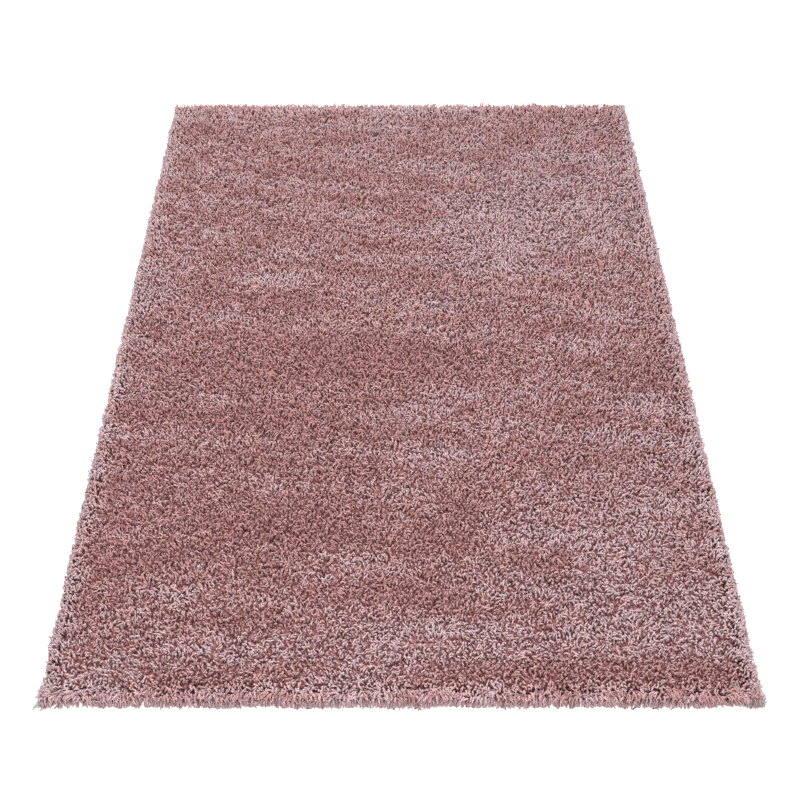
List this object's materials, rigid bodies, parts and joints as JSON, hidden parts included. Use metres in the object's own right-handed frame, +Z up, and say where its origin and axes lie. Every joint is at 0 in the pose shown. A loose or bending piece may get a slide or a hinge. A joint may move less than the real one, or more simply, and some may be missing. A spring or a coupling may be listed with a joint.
{
  "type": "shag rug",
  "caption": "Rectangular shag rug with long dusty-pink yarn pile in uneven clumps, a ragged rim, and a thin woven ground cloth under it, lying flat on the floor.",
  "frame": {"origin": "on the floor under the middle of the rug", "axes": "+X across the rug, +Y along it towards the far short edge, +Z up, away from the floor"},
  "size_m": [1.6, 2.3, 0.05],
  "materials": {
    "ground_cloth_weave": "matte grey-green woven cloth",
    "pile_yarn": "soft dusty-pink yarn with a faint sheen"
  },
  "bodies": {
    "root": {"ground_cloth": "ground_cloth_weave", "pile": "pile_yarn"}
  },
  "joints": []
}
